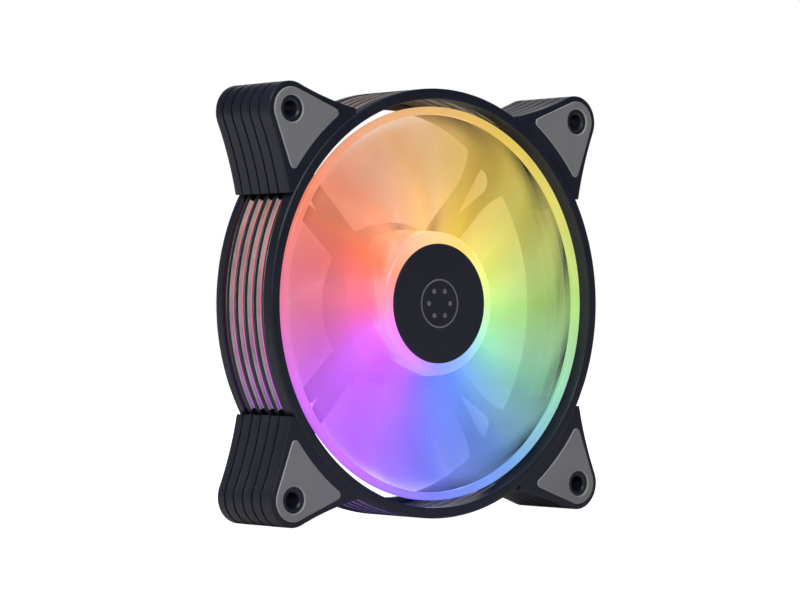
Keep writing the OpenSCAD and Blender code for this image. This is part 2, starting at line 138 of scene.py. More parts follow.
def round_corners(corners, steps=4):
    """A closed outline from (x, y, radius) corners, each rounded with its own radius."""
    points = []
    for index, (x, y, radius) in enumerate(corners):
        corner = Vector((x, y))
        if radius == 0:
            points.append(corner)
            continue
        before = Vector(corners[index - 1][:2]) - corner
        after = Vector(corners[(index + 1) % len(corners)][:2]) - corner
        half = before.angle(after) / 2
        reach = min(radius / math.tan(half), 0.49 * before.length, 0.49 * after.length)
        bisector = (before.normalized() + after.normalized()).normalized()
        centre = corner + bisector * (reach / math.cos(half))
        start = corner + before.normalized() * reach - centre
        end = corner + after.normalized() * reach - centre
        heading = math.degrees(math.atan2(start.y, start.x))
        turn = math.degrees(math.atan2(start.cross(end), start.dot(end)))
        points += arc(centre, start.length, heading, heading + turn, steps)
    return points


def inset(outline, distance):
    """A counter-clockwise outline pulled in by a distance, point by point."""
    moved = []
    count = len(outline)
    for index, point in enumerate(outline):
        before = (point - outline[index - 1]).normalized()
        after = (outline[(index + 1) % count] - point).normalized()
        inward = Vector((-before.y - after.y, before.x + after.x))
        moved.append(point + inward * (distance / (1 + before.dot(after))))
    return moved


# ---------- meshes ----------


def new_piece(name, points, faces):
    mesh = bpy.data.meshes.new(name)
    mesh.from_pydata(points, [], faces)
    piece = bpy.data.objects.new(name, mesh)
    bpy.context.scene.collection.objects.link(piece)
    return piece


def weld(piece, distance=1e-4):
    """Merges points that lie together, such as those on a revolved shape's axis."""
    work = bmesh.new()
    work.from_mesh(piece.data)
    bmesh.ops.remove_doubles(work, verts=work.verts, dist=distance)
    bmesh.ops.dissolve_degenerate(work, edges=work.edges, dist=distance)
    work.to_mesh(piece.data)
    work.free()
    return piece


def revolve(name, profile, start=0, end=360, steps=192):
    """Turns a counter-clockwise (radius, height) outline about the rotor axis."""
    closed = end - start == 360
    rings = steps if closed else steps + 1
    count = len(profile)
    points = []
    for ring in range(rings):
        turn = polar(1, start + (end - start) * ring / steps)
        points += [(turn.x * p[0], turn.y * p[0], p[1]) for p in profile]
    faces = []
    for ring in range(steps):
        here = ring * count
        there = (ring + 1) % rings * count
        for i in range(count):
            after = (i + 1) % count
            faces.append((here + i, there + i, there + after, here + after))
    if not closed:
        faces.append(tuple(range(count)))
        faces.append(tuple(reversed(range(steps * count, (steps + 1) * count))))
    return weld(new_piece(name, points, faces))


def stack(name, outline, levels):
    """A solid from (height, inset) levels of one counter-clockwise outline, bottom first."""
    count = len(outline)
    points = []
    for height, pulled_in in levels:
        points += [(p.x, p.y, height) for p in inset(outline, pulled_in)]
    faces = [tuple(reversed(range(count)))]
    for level in range(len(levels) - 1):
        low = level * count
        high = low + count
        for i in range(count):
            after = (i + 1) % count
            faces.append((low + i, low + after, high + after, high + i))
    faces.append(tuple(range(len(points) - count, len(points))))
    return new_piece(name, points, faces)


def eased_levels(bottom, top, radius, steps=4):
    """(height, inset) levels of a plain wall whose upper and lower edges are rounded."""
    quarter = [90 * i / steps for i in range(steps + 1)]
    sine = [radius * (1 - math.sin(math.radians(a))) for a in quarter]
    cosine = [radius * (1 - math.cos(math.radians(a))) for a in quarter]
    lower = [(bottom + c, s) for c, s in zip(cosine, sine)]
    upper = [(top - c, s) for c, s in zip(reversed(cosine), reversed(sine))]
    return lower + upper


def combine(piece, others, operation):
    """Adds other solids to a piece, or cuts them from it, and removes them."""
    bpy.context.view_layer.objects.active = piece
    for other in others:
        modifier = piece.modifiers.new("combine", "BOOLEAN")
        modifier.operation = operation
        modifier.solver = "MANIFOLD"
        modifier.object = other
        bpy.ops.object.modifier_apply(modifier=modifier.name)
        bpy.data.objects.remove(other)
    return piece


def turned(piece, angle):
    """The piece, turned about the rotor axis."""
    piece.data.transform(Matrix.Rotation(math.radians(angle), 4, "Z"))
    return piece


def flipped(piece):
    """The piece, turned over from the intake side to the exhaust side."""
    over = Matrix.Translation((0, 0, DEPTH)) @ Matrix.Diagonal((1, 1, -1, 1))
    piece.data.transform(over)
    piece.data.flip_normals()
    return piece


def joined(name, parts):
    """One piece from several, without merging their surfaces."""
    work = bmesh.new()
    for part in parts:
        work.from_mesh(part.data)
        bpy.data.objects.remove(part)
    piece = new_piece(name, [], [])
    work.to_mesh(piece.data)
    work.free()
    return piece


def place(piece, material, body, node, crease=35):
    """Moves a finished local piece into the CAD frame, where it stands for a CAD node."""
    turn = Matrix(((MM, 0, 0, 0), (0, 0, -MM, DEPTH / 2 * MM), (0, MM, 0, 0), (0, 0, 0, 1)))
    piece.data.transform(turn)
    piece.data.shade_smooth()
    piece.data.set_sharp_from_angle(angle=math.radians(crease))
    normals = piece.modifiers.new("weighted", "WEIGHTED_NORMAL")
    normals.keep_sharp = True
    piece.data.materials.clear()
    piece.data.materials.append(material)
    piece.data.polygons.foreach_set("material_index", [0] * len(piece.data.polygons))
    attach(piece, body)
    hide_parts(node)
    return piece


# ---------- shader helpers ----------


class Paint:
    """One material and the shader nodes that are added to it."""

    def __init__(self, name):
        self.material = bpy.data.materials.new(name)
        self.material.use_nodes = True
        self.tree = self.material.node_tree
        self.shader = self.tree.nodes["Principled BSDF"]

    def feed(self, socket, value):
        if isinstance(value, bpy.types.NodeSocket):
            self.tree.links.new(value, socket)
        else:
            socket.default_value = value

    def node(self, kind, inputs=None, **settings):
        made = self.tree.nodes.new(kind)
        for key, value in settings.items():
            setattr(made, key, value)
        for key, value in (inputs or {}).items():
            self.feed(made.inputs[key], value)
        return made

    def set(self, **values):
        """Sets sockets of the main shader; an underscore in a name stands for a space."""
        for key, value in values.items():
            self.feed(self.shader.inputs[key.replace("_", " ")], value)

    def math(self, operation, first, second=0.0):
        return self.node("ShaderNodeMath", {0: first, 1: second}, operation=operation).outputs[0]

    def span(self, value, low, high, to_low, to_high, interpolation="LINEAR"):
        """Maps a value from one range to another and holds it there."""
        sockets = {"Value": value, "From Min": low, "From Max": high, "To Min": to_low, "To Max": to_high}
        return self.node("ShaderNodeMapRange", sockets, interpolation_type=interpolation).outputs["Result"]

    def place_on_piece(self):
        """Place on the piece itself, which rides with it."""
        return self.node("ShaderNodeTexCoord").outputs["Object"]

    def facing_axis(self):
        """How squarely the surface faces along the rotor axis, from 0 to 1."""
        normal = self.node("ShaderNodeNewGeometry").outputs["Normal"]
        return self.math("ABSOLUTE", self.node("ShaderNodeSeparateXYZ", {0: normal}).outputs["Y"])

    def let_through(self, share, see_through_colour):
        """Mixes clear plastic with the main shader, of which there is the given share; what is seen through
        it takes the given colour, which on the rotor is painted light.
        """
        clear = self.node("ShaderNodeBsdfTransparent", {"Color": see_through_colour})
        both = self.node("ShaderNodeMixShader", {0: share, 1: clear.outputs[0], 2: self.shader.outputs[0]})
        self.tree.links.new(both.outputs[0], self.tree.nodes["Material Output"].inputs["Surface"])

    def base_colour(self):
        """The socket that now feeds the main shader's colour."""
        return self.shader.inputs["Base Color"].links[0].from_socket

    def noise(self, size, detail=2.0):
        """Noise between 0 and 1 that rides with the piece; size is one patch, in millimetres."""
        sockets = {"Vector": self.place_on_piece(), "Scale": 1 / (size * MM), "Detail": detail}
        return self.node("ShaderNodeTexNoise", sockets).outputs["Fac"]

    def mix(self, share, first, second):
        return self.node("ShaderNodeMix", {0: share, 6: first, 7: second}, data_type="RGBA").outputs[2]

    def mix_value(self, share, first, second):
        return self.node("ShaderNodeMix", {0: share, 2: first, 3: second}).outputs[0]

    def bump(self, height, depth):
        """A normal from a height map; depth is in millimetres."""
        return self.node("ShaderNodeBump", {"Height": height, "Distance": depth * MM}).outputs["Normal"]


def rgba(red, green, blue):
    return (red, green, blue, 1.0)


def moulded(name, colour, worn, roughness, grain, grain_depth):
    """A moulded surface: fine grain, and slow changes of shade and polish as from handling."""
    paint = Paint(name)
    patches = paint.noise(14, 4)
    fine = paint.noise(grain, 3)
    paint.set(
        Base_Color=paint.mix(paint.span(patches, 0.35, 0.7, 0, 1), rgba(*colour), rgba(*worn)),
        Roughness=paint.span(patches, 0.3, 0.7, roughness - 0.06, roughness + 0.07),
        Normal=paint.bump(fine, grain_depth),
    )
    return paint


def metal(name, colour, roughness, grain):
    """Bare metal with fine working marks and slightly uneven polish."""
    paint = Paint(name)
    patches = paint.noise(3, 4)
    fine = paint.noise(grain, 2)
    darker = tuple(0.75 * c for c in colour)
    paint.set(
        Base_Color=paint.mix(paint.span(patches, 0.3, 0.7, 0, 1), rgba(*colour), rgba(*darker)),
        Metallic=1.0,
        Roughness=paint.span(fine, 0.3, 0.7, roughness - 0.08, roughness + 0.1),
        Normal=paint.bump(fine, 0.004),
    )
    return paint


# Colour of the light round the rotor: (degrees counter-clockwise from the right, linear RGB)
GLOW = (
    (0, (0.50, 0.73, 0.26)),
    (30, (0.70, 0.67, 0.18)),
    (60, (0.74, 0.55, 0.11)),
    (90, (0.78, 0.50, 0.20)),
    (120, (0.79, 0.42, 0.26)),
    (150, (0.88, 0.27, 0.16)),
    (180, (0.79, 0.23, 0.39)),
    (210, (0.67, 0.19, 1.0)),
    (240, (0.53, 0.19, 0.98)),
    (270, (0.22, 0.26, 0.90)),
    (300, (0.20, 0.39, 0.78)),
    (330, (0.33, 0.68, 0.51)),
)


def glow_colour(paint):
    """The colour of the light at a place, by its angle about the rotor axis; it doesn't turn."""
    position = paint.node("ShaderNodeNewGeometry").outputs["Position"]
    parts = paint.node("ShaderNodeSeparateXYZ", {0: position}).outputs
    # The two minus signs move the seam of the arc tangent to the right-hand side, angle 0
    up = paint.math("MULTIPLY", parts["Z"], -1.0)
    right = paint.math("MULTIPLY", parts["X"], -1.0)
    angle = paint.math("ARCTAN2", up, right)
    ramp = paint.node("ShaderNodeValToRGB", {0: paint.span(angle, -math.pi, math.pi, 0, 1)})
    stops = ramp.color_ramp.elements
    stops[0].color = rgba(*GLOW[0][1])
    stops[1].color = rgba(*GLOW[0][1])
    for degrees, colour in GLOW[1:]:
        stops.new(degrees / 360).color = rgba(*colour)
    return ramp.outputs["Color"]


def axis_distance(paint):
    """Distance from the rotor axis, in millimetres."""
    position = paint.node("ShaderNodeNewGeometry").outputs["Position"]
    flat = paint.node("ShaderNodeVectorMath", {0: position, 1: (1 / MM, 0, 1 / MM)}, operation="MULTIPLY")
    return paint.node("ShaderNodeVectorMath", {0: flat.outputs[0]}, operation="LENGTH").outputs["Value"]


# ---------- materials ----------


def frame_plastic():
    return moulded("frame_plastic", (0.0075, 0.010, 0.025), (0.010, 0.0125, 0.029), 0.42, 0.35, 0.012)


def pad_rubber():
    """Soft inlay whose rounded rim is painted paler than its face, as a painted highlight."""
    paint = moulded("pad_rubber", (0.24, 0.243, 0.265), (0.265, 0.268, 0.29), 0.66, 0.25, 0.02)
    # Painted highlight: the rounded rim, which turns away from the axis, is painted paler than the face.
    rim = paint.span(paint.facing_axis(), 0.6, 0.97, 0.9, 0)
    paint.set(Base_Color=paint.mix(rim, paint.base_colour(), rgba(0.55, 0.55, 0.53)))
    return paint


def badge_plastic():
    paint = moulded("badge_plastic", (0.0165, 0.0175, 0.031), (0.018, 0.019, 0.033), 0.36, 0.4, 0.004)
    paint.set(Roughness=paint.span(paint.noise(20, 1), 0.3, 0.7, 0.34, 0.38))
    return paint


def badge_print():
    return moulded("badge_print", (0.20, 0.205, 0.22), (0.15, 0.155, 0.17), 0.4, 0.2, 0.002)


def rotor_plastic():
    """Milky plastic lit from the hub, drawn with painted light: it glows by emission in the painted glow
    colour, and lets light through tinted with that colour.
    """
    paint = Paint("rotor_plastic")
    near_hub_end = 44
    deep_share_near_hub = 0.6
    deep_share_on_band = 0.45
    colour = glow_colour(paint)
    deep = paint.node("ShaderNodeGamma", {0: colour, 1: 1.35}).outputs[0]
    cloud = paint.noise(9, 3)
    near_hub = paint.span(axis_distance(paint), HUB_R, near_hub_end, 1, 0, "SMOOTHSTEP")
    cover = paint.node("ShaderNodeAttribute", attribute_name="cover").outputs["Fac"]
    on_hub = paint.span(cover, BAND_COVER, HUB_COVER, 0, 1)
    on_band = paint.span(cover, BLADE_COVER, BAND_COVER, 0, 1)
    facing = paint.facing_axis()
    # Painted highlight: on the hub the glow is mixed with white, most on the hub's sides.
    painted_hub_whitening = paint.math("MULTIPLY", on_hub, paint.span(facing, 0.3, 0.9, 0.1, 0.05))
    deep_near_hub = paint.math("MULTIPLY", near_hub, deep_share_near_hub)
    deep_on_band = paint.math("MULTIPLY", on_band, deep_share_on_band)
    deeper = paint.math("MAXIMUM", deep_near_hub, deep_on_band)
    glow = paint.mix(painted_hub_whitening, paint.mix(deeper, colour, deep), rgba(1, 1, 1))
    # Painted light: the glow is brighter near the hub, on the band and on the hub's sides, and varies with
    # the noise.
    off_hub = paint.math("MAXIMUM", paint.span(near_hub, 0, 1, 0.88, 1.4), on_band)
    strength = paint.mix_value(on_hub, off_hub, paint.span(facing, 0.3, 0.9, 1.12, 1.4))
    uneven = paint.span(cloud, 0.3, 0.7, 0.95, 1.05)
    # Painted light: the base colour is a share of the glow colour by angle round the rotor, and the emission
    # is the painted glow.
    paint.set(
        Base_Color=paint.mix(0.8, colour, rgba(0.02, 0.02, 0.02)),
        Roughness=paint.span(cloud, 0.3, 0.7, 0.2, 0.3),
        Emission_Color=glow,
        Emission_Strength=paint.math("MULTIPLY", strength, uneven),
        Normal=paint.bump(paint.noise(5, 2), 0.03),
    )
    # Painted light: the see-through colour is the glow colour by angle, mixed with white.
    see_through_colour = paint.mix(0.4, colour, rgba(1, 1, 1))
    by_cover = paint.span(cover, 0, BLADE_COVER, 0, 1)
    paint.let_through(cover, paint.mix(by_cover, rgba(1, 1, 1), see_through_colour))
    return paint


def light_guide_plastic():
    """Clear gray plastic with cloudy ribs; a painted glow shows where its outer face is open to a slit."""
    paint = moulded("light_guide_plastic", (0.62, 0.60, 0.58), (0.33, 0.32, 0.32), 0.35, 0.6, 0.004)
    glow_from = 1.65
    glow_full = 1.45
    clear_share = 0.2
    radius = axis_distance(paint)
    geometry = paint.node("ShaderNodeNewGeometry").outputs
    position = geometry["Position"]
    along = paint.node("ShaderNodeSeparateXYZ", {0: position}).outputs["Y"]
    behind_first = paint.math("ADD", paint.math("DIVIDE", along, MM), DEPTH / 2 - FRONT_RING_H)
    in_period = paint.math("FLOORED_MODULO", behind_first, SLIT_PITCH)
    in_slit = paint.math("LESS_THAN", in_period, SLIT_H)
    front_part = paint.span(in_period, glow_full, glow_from, 1, 0)
    # Positive on the outer side, so that the glow doesn't show through the duct
    sockets = {0: geometry["Normal"], 1: position}
    outward = paint.node("ShaderNodeVectorMath", sockets, operation="DOT_PRODUCT").outputs["Value"]
    on_outside = paint.span(outward, 0, 0.01, 0, 1)
    at_base = paint.span(radius, WINDOW_R, WINDOW_R + 0.3, 1.0, 0.0, "SMOOTHSTEP")
    # Painted light: the front part of each slit on the outer face glows in the glow colour, and the base
    # colour is darkened there.
    lit = paint.math("MULTIPLY", front_part, paint.math("MULTIPLY", at_base, on_outside))
    deep = paint.node("ShaderNodeGamma", {0: glow_colour(paint), 1: 1.4}).outputs[0]
    paint.set(
        Base_Color=paint.mix(lit, paint.base_colour(), rgba(0.02, 0.02, 0.02)),
        Emission_Color=deep,
        Emission_Strength=lit,
    )
    near_outside = paint.span(radius, WINDOW_R - 0.2, WINDOW_R - 0.15, 0, 1)
    in_open_slit = paint.math("MULTIPLY", near_outside, in_slit)
    paint.let_through(paint.span(in_open_slit, 0, 1, clear_share, 1), rgba(0.93, 0.93, 0.93))
    return paint


def motor_steel():
    return metal("motor_steel", (0.56, 0.57, 0.59), 0.3, 0.15)


def stator_steel():
    """Stacked sheets, whose layers show as fine lines."""
    paint = metal("stator_steel", (0.34, 0.35, 0.37), 0.42, 0.3)
    sockets = {"Vector": paint.place_on_piece(), "Scale": 320.0, "Distortion": 0.3}
    layers = paint.node("ShaderNodeTexWave", sockets, bands_direction="Y").outputs["Fac"]
    paint.set(Normal=paint.bump(layers, 0.08))
    return paint


def magnet_ferrite():
    return moulded("magnet_ferrite", (0.045, 0.043, 0.046), (0.06, 0.057, 0.058), 0.6, 0.2, 0.02)


def brass():
    return metal("brass", (0.72, 0.52, 0.25), 0.3, 0.2)


def bronze():
    return metal("bronze", (0.5, 0.3, 0.14), 0.48, 0.1)


def nylon():
    return moulded("nylon", (0.82, 0.80, 0.74), (0.75, 0.73, 0.67), 0.4, 0.3, 0.005)


def seal_rubber():
    return moulded("seal_rubber", (0.02, 0.02, 0.02), (0.03, 0.03, 0.03), 0.55, 0.2, 0.01)


def insulator_plastic():
    return moulded("insulator_plastic", (0.70, 0.66, 0.54), (0.62, 0.58, 0.46), 0.45, 0.3, 0.008)


def copper_wire():
    paint = metal("copper_wire", (0.62, 0.24, 0.09), 0.3, 0.2)
    paint.set(Coat_Weight=0.6)
    return paint


def tinned_pins():
    return metal("tinned_pins", (0.74, 0.75, 0.77), 0.25, 0.1)


def board_laminate():
    """Solder mask over copper tracks, which show as slightly raised, lighter lines."""
    paint = moulded("board_laminate", (0.012, 0.075, 0.03), (0.02, 0.10, 0.045), 0.3, 0.3, 0.004)
    sockets = {"Vector": paint.place_on_piece(), "Scale": 260.0}
    cells = paint.node("ShaderNodeTexVoronoi", sockets, feature="DISTANCE_TO_EDGE")
    tracks = paint.span(cells.outputs["Distance"], 0.06, 0.10, 1, 0)
    paint.set(
        Base_Color=paint.mix(tracks, rgba(0.012, 0.075, 0.03), rgba(0.035, 0.16, 0.07)),
        Normal=paint.bump(tracks, 0.03),
    )
    return paint


def chip_epoxy():
    return moulded("chip_epoxy", (0.016, 0.016, 0.017), (0.025, 0.025, 0.026), 0.5, 0.15, 0.01)


def capacitor_ceramic():
    return moulded("capacitor_ceramic", (0.42, 0.29, 0.16), (0.36, 0.25, 0.14), 0.4, 0.1, 0.005)


def led_package():
    """White package whose light has the colour of its place round the rotor."""
    paint = moulded("led_package", (0.85, 0.84, 0.80), (0.78, 0.77, 0.73), 0.3, 0.2, 0.004)
    paint.set(Emission_Color=glow_colour(paint), Emission_Strength=0.15)
    return paint


def label_foil():
    """Blank silver-gray film with faint brushing along one way."""
    paint = metal("label_foil", (0.52, 0.53, 0.54), 0.4, 0.4)
    sockets = {"Vector": paint.place_on_piece(), "Scale": (300, 1, 8000)}
    stretched = paint.node("ShaderNodeMapping", sockets).outputs["Vector"]
    brushing = paint.node("ShaderNodeTexNoise", {"Vector": stretched, "Scale": 1.0}).outputs["Fac"]
    paint.set(Metallic=0.8, Roughness=paint.span(brushing, 0.3, 0.7, 0.32, 0.5))
    return paint


# ---------- frame ----------


def slit(index):
    """(lower, upper) edge of a vent slit, counted from the intake side."""
    top = DEPTH - FRONT_RING_H - SLIT_PITCH * index
    return max(top - SLIT_H, REAR_RING_H), top


def shell_profile():
    """The ring cut along a radius: grooved outside, with the flange behind the rotor inside.

    In front of each slit the strip starts a little further in, and rises slowly and then faster, to
    catch the light.
    """
    edge_r = 0.7
    duct_edge_r = 0.35
    rear_edge_r = 0.3
    flange_h = 2.5
    flange_taper = 1
    flange_r = 0.2
    strip_edge_r = 0.15
    lean_h = 0.95
    first_lean_h = 1.2
    lean_in = 0.2
    knee_in = 0.16
    knee_drop = 0.5
    lean_r = 0.1
    knee_r = 0.05
    corners = [(RING_R, 0, edge_r)]
    for index in reversed(range(SLITS)):
        low, high = slit(index)
        lean_end = high + (first_lean_h if index == 0 else lean_h)
        corners += [
            (RING_R, low, strip_edge_r),
            (GROOVE_FLOOR_R, low, 0),
            (GROOVE_FLOOR_R, high, 0),
            (RING_R - lean_in, high, lean_r),
            (RING_R - knee_in, lean_end - knee_drop, knee_r),
            (RING_R, lean_end, lean_r),
        ]
    corners += [
        (RING_R, DEPTH, edge_r),
        (DUCT_R, DEPTH, duct_edge_r),
        (DUCT_R, flange_h + flange_taper, flange_r),
        (REAR_R, flange_h, flange_r),
        (REAR_R, 0, rear_edge_r),
    ]
    return round_corners(corners)


def ring_shell():
    windows = []
    top = DEPTH - FRONT_RING_H
    outline = [(REAR_R, REAR_RING_H), (WINDOW_R, REAR_RING_H), (WINDOW_R, top), (REAR_R, top)]
    for side in range(4):
        start = 90 * side - WINDOW_HALF_ANGLE
        end = 90 * side + WINDOW_HALF_ANGLE
        windows.append(revolve("window", outline, start, end, steps=48))
    return combine(revolve("shell", shell_profile(), steps=256), windows, "DIFFERENCE")


def block_outline():
    """A lobe round the screw hole and two hollow flanks, about the upper right diagonal."""
    hole = (HOLE_AT, HOLE_AT)
    flank_r = 100
    flank_angle = 23
    block_end = 30
    inner_x = 48.5
    flank = Vector(hole) + polar(flank_r + LOBE_R, -flank_angle)
    flank_end = math.degrees(math.asin((flank.y - block_end) / flank_r))
    half = [Vector((inner_x, block_end))]
    half += arc(flank, flank_r, 180 + flank_end, 180 - flank_angle, 16)
    half += arc(hole, LOBE_R, -flank_angle, 45, 20)[1:]
    return half + mirrored(half)[1:]


def block_levels():
    """Rounded front and rear edges, and a groove just behind the front edge of each slit."""
    edge_r = 0.45
    groove_t = 0.4
    half_w = 0.3
    drop = 0.1
    ease = 0.12
    levels = eased_levels(FACE_STEP, DEPTH - FACE_STEP, edge_r)
    rising = levels[: len(levels) // 2]
    falling = levels[len(levels) // 2 :]
    grooves = []
    for index in reversed(range(SLITS)):
        middle = slit(index)[1] - drop - half_w
        shoulder = [(half_w + ease, 0), (half_w + ease / 4, ease / 3), (half_w, groove_t)]
        grooves += [(middle - away, inward) for away, inward in shoulder]
        grooves += [(middle + away, inward) for away, inward in reversed(shoulder)]
    return rising + grooves + falling


def corner_block(angle):
    overlap = 1
    block = stack("block", block_outline(), block_levels())
    inner_r = DUCT_R + overlap
    inner = [(0, -PAST), (inner_r, -PAST), (inner_r, DEPTH + PAST), (0, DEPTH + PAST)]
    combine(block, [revolve("inner", inner)], "DIFFERENCE")
    return turned(block, angle)


def strut_outline():
    """A strut along +X: its fork flares out and fillets into the ring."""
    root = Vector((22, 4.2))
    fork_start = Vector((43, 4.8))
    flare_r = 24
    flare_from = -85
    flare_to = -60
    fillet_r = 3
    fillet_end = 15
    end_r = DUCT_R + 0.8
    flare_centre = fork_start - polar(flare_r, flare_from)
    fillet_centre = flare_centre + polar(flare_r - fillet_r, flare_to)
    half = [root]
    half += arc(flare_centre, flare_r, flare_from, flare_to, 12)
    half += arc(fillet_centre, fillet_r, flare_to, fillet_end, 10)[1:]
    half += [polar(end_r, angle) for angle in (14, 10, 5, 0)]
    lower = [Vector((p.x, -p.y)) for p in half]
    return lower + list(reversed(half))[1:]


def strut_eye():
    """Teardrop opening in the fork of a strut, with eased edges."""
    tip = (34.4, 0)
    tip_r = 0.6
    end = (50.4, 0)
    end_r = 3.8
    ease = 0.35
    widened = -1.0
    out = tangent_angle(tip, tip_r, end, end_r, 1)
    outline = arc(end, end_r, -out, out, 24) + arc(tip, tip_r, out, 360 - out, 8)
    levels = [(-PAST, widened), (ease, 0), (STRUT_H - ease, 0), (STRUT_H + PAST, widened)]
    return stack("eye", outline, levels)


def strut(angle):
    edge_r = 0.5
    beam = stack("strut", strut_outline(), eased_levels(0, STRUT_H, edge_r))
    combine(beam, [strut_eye()], "DIFFERENCE")
    return turned(beam, angle)


def base_notch():
    """Cutter for the opening in the wall of the motor base by which a lead would leave."""
    half_w = 2.5
    inner = 20
    outer = 24
    floor_h = 1.5
    top = 3.1
    corners = ((inner, -half_w), (outer, -half_w), (outer, half_w), (inner, half_w))
    notch = stack("notch", [Vector(p) for p in corners], [(floor_h, 0), (top, 0)])
    return turned(notch, -66)


def board_post(angle):
    """A small post that carries the circuit board."""
    post_r = 1
    low = 1.4
    top = 3.7
    ease = 0.1
    at = 19
    outline = [(0, low), (post_r, low), (post_r, top - ease), (post_r - ease, top), (0, top)]
    post = revolve("post", outline, steps=32)
    post.data.transform(Matrix.Translation((at, 0, 0)))
    return turned(post, angle)


def motor_base():
    """Dish behind the rotor, with the boss that holds the bearing tube and a recess for the label."""
    base_r = 23
    base_h = 5
    wall = 1.2
    floor_h = 1.5
    label_r = 19.3
    label_h = 0.3
    boss_r = 5
    boss_h = 9.6
    tube_r = 4.2
    tube_seat = 1.8
    corners = [
        (0, label_h, 0), (label_r, label_h, 0.1), (label_r, 0, 0.1), (base_r, 0, 0.5), (base_r, base_h, 0.4),
        (base_r - wall, base_h, 0.3), (base_r - wall, floor_h, 0.4), (boss_r, floor_h, 0.5),
        (boss_r, boss_h, 0.3), (tube_r, boss_h, 0.1), (tube_r, tube_seat, 0), (0, tube_seat, 0),
    ]
    base = revolve("base", round_corners(corners, 3), steps=128)
    combine(base, [base_notch()], "DIFFERENCE")
    for i in range(3):
        combine(base, [board_post(30 + 120 * i)], "UNION")
    return base


def pad_outline():
    """A rounded triangle round the screw hole, hollow on the side of the ring."""
    hole = (HOLE_AT, HOLE_AT)
    tip_r = 1.3
    lobe_r = 5.9
    inner_r = 62.8
    tip_turn = 8.9
    tip_angle = 45 - tip_turn
    tip = polar(inner_r + tip_r, tip_angle)
    out = tangent_angle(tip, tip_r, hole, lobe_r, -1)
    half = arc((0, 0), inner_r, 45, tip_angle, 8)
    half += arc(tip, tip_r, 180 + tip_angle, 360 + out, 14)[1:]
    half += arc(hole, lobe_r, out, 45, 20)
    return half + mirrored(half)[1:-1]


def at_hole(cutter):
    """A cutter, moved from the rotor axis to the upper right screw hole."""
    cutter.data.transform(Matrix.Translation((HOLE_AT, HOLE_AT, 0)))
    return cutter


def pad_recess():
    """Cutter for the seat of a pad, which leaves the collar round the screw hole standing."""
    gap = 0.06
    collar_gap = 0.1
    radius = PAD_HOLE_R - collar_gap
    collar = [(0, DEPTH - 3), (radius, DEPTH - 3), (radius, DEPTH + 2), (0, DEPTH + 2)]
    recess = stack("recess", inset(pad_outline(), -gap), [(DEPTH - PAD_T, 0), (DEPTH + PAST, 0)])
    return combine(recess, [at_hole(revolve("cutter", collar, steps=64))], "DIFFERENCE")


def screw_cutter():
    """The screw hole with a countersink at both faces, and the collars round it cut to height."""
    sink = 0.5
    ease = 0.05
    top = DEPTH - FACE_STEP
    wide = SCREW_R + sink
    rim = wide + 2 * ease
    collar_r = PAD_HOLE_R - ease
    profile = [
        (0, -PAST), (collar_r, -PAST), (collar_r, FACE_STEP), (rim, FACE_STEP),
        (wide, FACE_STEP + ease), (SCREW_R, FACE_STEP + sink), (SCREW_R, top - sink), (wide, top - ease),
        (rim, top), (collar_r, top), (collar_r, DEPTH + PAST), (0, DEPTH + PAST),
    ]
    return at_hole(revolve("screw", profile, steps=64))


def frame_moulding():
    moulding = ring_shell()
    corners = [90 * i for i in range(4)]
    additions = [motor_base()]
    additions += [corner_block(a) for a in corners]
    additions += [strut(45 + a) for a in corners]
    combine(moulding, additions, "UNION")
    cuts = []
    for angle in corners:
        cutters = [pad_recess(), flipped(pad_recess()), screw_cutter()]
        cuts += [turned(cutter, angle) for cutter in cutters]
    combine(moulding, cuts, "DIFFERENCE")
    moulding.name = "frame_moulding"
    return moulding


def corner_pad():
    """The upper right pad at the intake side, with eased edges outside and round its hole."""
    ease = 0.3
    wide = PAD_HOLE_R + ease
    low = DEPTH - 3
    hole = [(0, low), (PAD_HOLE_R, low), (PAD_HOLE_R, DEPTH - ease), (wide, DEPTH + 0.01)]
    hole += [(wide, DEPTH + PAST), (0, DEPTH + PAST)]
    pad = stack("pad", pad_outline(), eased_levels(DEPTH - PAD_T, DEPTH, ease))
    return combine(pad, [at_hole(revolve("cutter", hole, steps=64))], "DIFFERENCE")


def corner_pads(name, rear):
    pads = [corner_pad() for _ in range(4)]
    if rear:
        for pad in pads:
            flipped(pad)
    return joined(name, [turned(pad, 90 * corner) for corner, pad in enumerate(pads)])


def light_guides():
    """Four curved guides behind the louvre strips, each with a thin rib along every slit but the rearmost.
    """
    half_angle = 28.5
    rib_h = 0.35
    base_r = WINDOW_R - GUIDE_GAP
    inner_r = DUCT_R + GUIDE_GAP
    rib_r = RING_R - 0.15
    bottom = REAR_RING_H + GUIDE_GAP
    corners = [(inner_r, bottom, 0.1), (base_r, bottom, 0.1)]
    for index in reversed(range(SLITS - 1)):
        low = slit(index)[0]
        high = low + rib_h
        corners += [(base_r, low, 0), (rib_r, low, 0.06), (rib_r, high, 0.1), (base_r, high, 0.05)]
    top = slit(0)[1] - GUIDE_GAP
    corners += [(base_r, top, 0.1), (inner_r, top, 0.1)]
    profile = round_corners(corners, 2)
    middles = [90 * i for i in range(4)]
    guides = [revolve("guide", profile, a - half_angle, a + half_angle, 64) for a in middles]
    return joined("light_guides", guides)


# ---------- rotor ----------


